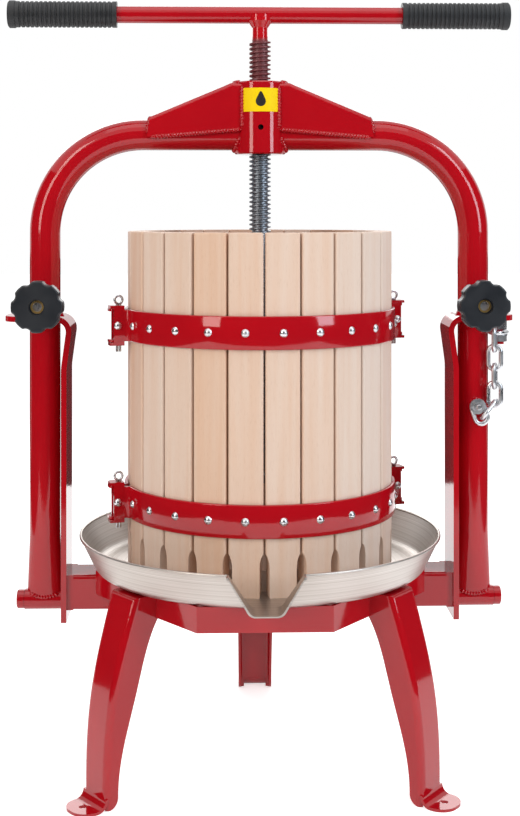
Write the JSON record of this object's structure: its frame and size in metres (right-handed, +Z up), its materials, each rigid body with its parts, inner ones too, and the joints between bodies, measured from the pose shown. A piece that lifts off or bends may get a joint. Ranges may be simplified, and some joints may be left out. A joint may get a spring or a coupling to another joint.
{
  "type": "fruit press",
  "caption": "Basket fruit press with a tilting tube yoke, hand-turned screw, slatted wooden basket in steel hoops, juice pan and folded steel legs.",
  "frame": {"origin": "on the floor, at the centre of the circle through the three foot holes, under the screw's axis", "axes": "+X to the right of the person at the spout, +Y to the rear, +Z up"},
  "size_m": [0.56, 0.4545, 0.8353],
  "materials": {
    "red_paint": "glossy red powder coat",
    "pan_steel": "spun stainless steel",
    "beech": "bare planed beech",
    "screw_steel": "oiled turned steel",
    "black_plastic": "moulded black plastic",
    "grip_rubber": "ribbed black rubber",
    "brass": "turned brass",
    "label_yellow": "printed film, left blank",
    "zinc": "bright zinc plate"
  },
  "bodies": {
    "base": {"cross_beam": "red_paint", "beam_end_plates": "red_paint", "base_ring_front": "red_paint", "base_ring_rear": "red_paint", "leg_front_left": "red_paint", "leg_front_right": "red_paint", "leg_rear": "red_paint", "bracket_left": "red_paint", "bracket_right": "red_paint", "lock_lug_left": "red_paint", "lock_lug_right": "red_paint", "pivot_pins": "red_paint", "chain_anchor_bolt": "red_paint", "chain_anchor_nuts": "zinc", "chain_link_1": "zinc"},
    "pan": {"juice_pan": "pan_steel"},
    "basket": {"staves_front": "beech", "staves_rear": "beech", "hoop_upper_front": "red_paint", "hoop_upper_rear": "red_paint", "hoop_lower_front": "red_paint", "hoop_lower_rear": "red_paint", "hoop_screws_front": "zinc", "hoop_screws_rear": "zinc"},
    "boards": {"press_board_front": "beech", "press_board_rear": "beech", "board_battens": "beech"},
    "yoke": {"yoke_arm_left": "red_paint", "yoke_arm_right": "red_paint", "hub": "red_paint", "gusset_left": "red_paint", "gusset_right": "red_paint", "pivot_sleeves": "red_paint", "oil_label": "label_yellow", "chain_post_bolt": "zinc", "chain_post_nuts": "zinc", "chain_link_7": "zinc"},
    "foot": {"press_foot": "screw_steel", "foot_set_screws": "screw_steel"},
    "screw": {"spindle": "screw_steel", "handle_bar": "red_paint", "grip_left": "grip_rubber", "grip_right": "grip_rubber"},
    "pin_upper_left": {"cotter_upper_left": "zinc"},
    "pin_upper_right": {"cotter_upper_right": "zinc"},
    "pin_lower_left": {"cotter_lower_left": "zinc"},
    "pin_lower_right": {"cotter_lower_right": "zinc"},
    "washer_left": {"clamp_washer_left": "zinc"},
    "clamp_left": {"knob_left": "black_plastic", "knob_bush_left": "brass", "clamp_stud_left": "zinc"},
    "washer_right": {"clamp_washer_right": "zinc"},
    "clamp_right": {"knob_right": "black_plastic", "knob_bush_right": "brass", "clamp_stud_right": "zinc"},
    "link_2": {"chain_link_2": "zinc"},
    "link_3": {"chain_link_3": "zinc"},
    "link_4": {"chain_link_4": "zinc"},
    "link_5": {"chain_link_5": "zinc"},
    "link_6": {"chain_link_6": "zinc"}
  },
  "joints": [
    {"name": "pan_lift", "type": "slide", "parent": "base", "child": "pan", "axis": [0, 0, 1], "range_m": [0, 0.02]},
    {"name": "basket_lift", "type": "slide", "parent": "pan", "child": "basket", "axis": [0, 0, 1], "range_m": [0, 0.04]},
    {"name": "board_lift", "type": "slide", "parent": "pan", "child": "boards", "axis": [0, 0, 1], "range_m": [0, 0.045]},
    {"name": "pin_upper_left_pull", "type": "slide", "parent": "basket", "child": "pin_upper_left", "axis": [0, 0, 1], "range_m": [0, 0.06]},
    {"name": "pin_upper_right_pull", "type": "slide", "parent": "basket", "child": "pin_upper_right", "axis": [0, 0, 1], "range_m": [0, 0.06]},
    {"name": "pin_lower_left_pull", "type": "slide", "parent": "basket", "child": "pin_lower_left", "axis": [0, 0, 1], "range_m": [0, 0.06]},
    {"name": "pin_lower_right_pull", "type": "slide", "parent": "basket", "child": "pin_lower_right", "axis": [0, 0, 1], "range_m": [0, 0.06]},
    {"name": "yoke_tilt", "type": "hinge", "parent": "base", "child": "yoke", "pos_m": [0, 0, 0.173], "axis": [-1, 0, 0], "range_deg": [0, 8]},
    {"name": "press_travel", "type": "slide", "parent": "yoke", "child": "foot", "axis": [0, 0, 1], "range_m": [-0.045, 0.3]},
    {"name": "spindle_turn", "type": "hinge", "parent": "foot", "child": "screw", "pos_m": [0, 0, 0.7], "axis": [0, 0, 1], "range_deg": [-3240, 21600]},
    {"name": "knob_travel_left", "type": "slide", "parent": "base", "child": "washer_left", "axis": [0, -1, 0], "range_m": [0, 0.012]},
    {"name": "knob_turn_left", "type": "hinge", "parent": "washer_left", "child": "clamp_left", "pos_m": [-0.238, -0.04, 0.5005], "axis": [0, -1, 0], "range_deg": [0, 2880]},
    {"name": "knob_travel_right", "type": "slide", "parent": "base", "child": "washer_right", "axis": [0, -1, 0], "range_m": [0, 0.012]},
    {"name": "knob_turn_right", "type": "hinge", "parent": "washer_right", "child": "clamp_right", "pos_m": [0.238, -0.04, 0.5005], "axis": [0, -1, 0], "range_deg": [0, 2880]},
    {"name": "chain_swing_2", "type": "hinge", "parent": "base", "child": "link_2", "pos_m": [0.25835, -0.02071, 0.4678], "axis": [1, 0, 0], "range_deg": [0, 8.48]},
    {"name": "chain_swing_3", "type": "hinge", "parent": "link_2", "child": "link_3", "pos_m": [0.25835, -0.02071, 0.4505], "axis": [1, 0, 0], "range_deg": [0, 13.12]},
    {"name": "chain_swing_4", "type": "hinge", "parent": "link_3", "child": "link_4", "pos_m": [0.25835, -0.02071, 0.4303], "axis": [1, 0, 0], "range_deg": [0, 2.15]},
    {"name": "chain_swing_5", "type": "hinge", "parent": "link_4", "child": "link_5", "pos_m": [0.25835, -0.02071, 0.4101], "axis": [-1, 0, 0], "range_deg": [0, 4.87]},
    {"name": "chain_swing_6", "type": "hinge", "parent": "link_5", "child": "link_6", "pos_m": [0.25913, -0.0196, 0.38982], "axis": [-1, 0, 0], "range_deg": [0, 7.67]}
  ],
  "couplings": [
    {"joint": "press_travel", "follows": "spindle_turn", "m_per_rad": 0.00079577},
    {"joint": "knob_travel_left", "follows": "knob_turn_left", "m_per_rad": 0.00023873},
    {"joint": "knob_travel_right", "follows": "knob_turn_right", "m_per_rad": 0.00023873},
    {"joint": "chain_swing_2", "follows": "yoke_tilt", "ratio": 1.0597},
    {"joint": "chain_swing_3", "follows": "yoke_tilt", "ratio": 1.6398},
    {"joint": "chain_swing_4", "follows": "yoke_tilt", "ratio": 0.26893},
    {"joint": "chain_swing_5", "follows": "yoke_tilt", "ratio": 0.6089},
    {"joint": "chain_swing_6", "follows": "yoke_tilt", "ratio": 0.95831}
  ]
}
